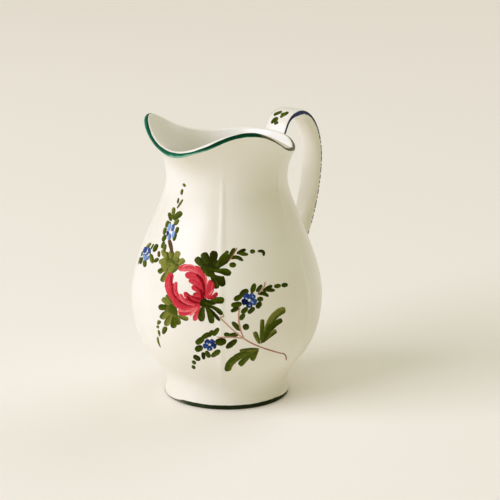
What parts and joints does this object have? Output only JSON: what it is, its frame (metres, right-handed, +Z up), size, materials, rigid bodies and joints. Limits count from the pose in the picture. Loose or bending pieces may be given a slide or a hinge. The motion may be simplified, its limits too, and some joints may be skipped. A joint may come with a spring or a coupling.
{
  "type": "cream jug",
  "caption": "Pear-shaped porcelain cream jug with soft ridges, a ring foot, a waved pouring mouth, a strap handle and painted enamel flowers and lines.",
  "frame": {"origin": "centre of the foot ring on the table", "axes": "+Z up along the jug's axis, pouring lip towards -X, handle towards +X"},
  "size_m": [0.1061, 0.0868, 0.128],
  "materials": {
    "glaze": "gloss glaze on white porcelain",
    "slip": "gloss glaze over a bead of slip",
    "line_green": "gloss green enamel",
    "line_blue": "gloss blue enamel",
    "bloom_red": "gloss red enamel",
    "leaf_green": "gloss dark green enamel",
    "floret_blue": "gloss blue enamel",
    "stem_brown": "gloss red-brown enamel"
  },
  "bodies": {
    "root": {"foot_ring": "glaze", "body": "glaze", "handle": "glaze", "upper_slip_joint": "slip", "lower_slip_joint": "slip", "rim_line": "line_green", "foot_line": "line_green", "handle_line_left": "line_blue", "handle_line_right": "line_blue", "bloom_enamel": "bloom_red", "leaf_enamel": "leaf_green", "floret_enamel": "floret_blue", "stem_enamel": "stem_brown", "handle_sprig_enamel": "leaf_green"}
  },
  "joints": []
}
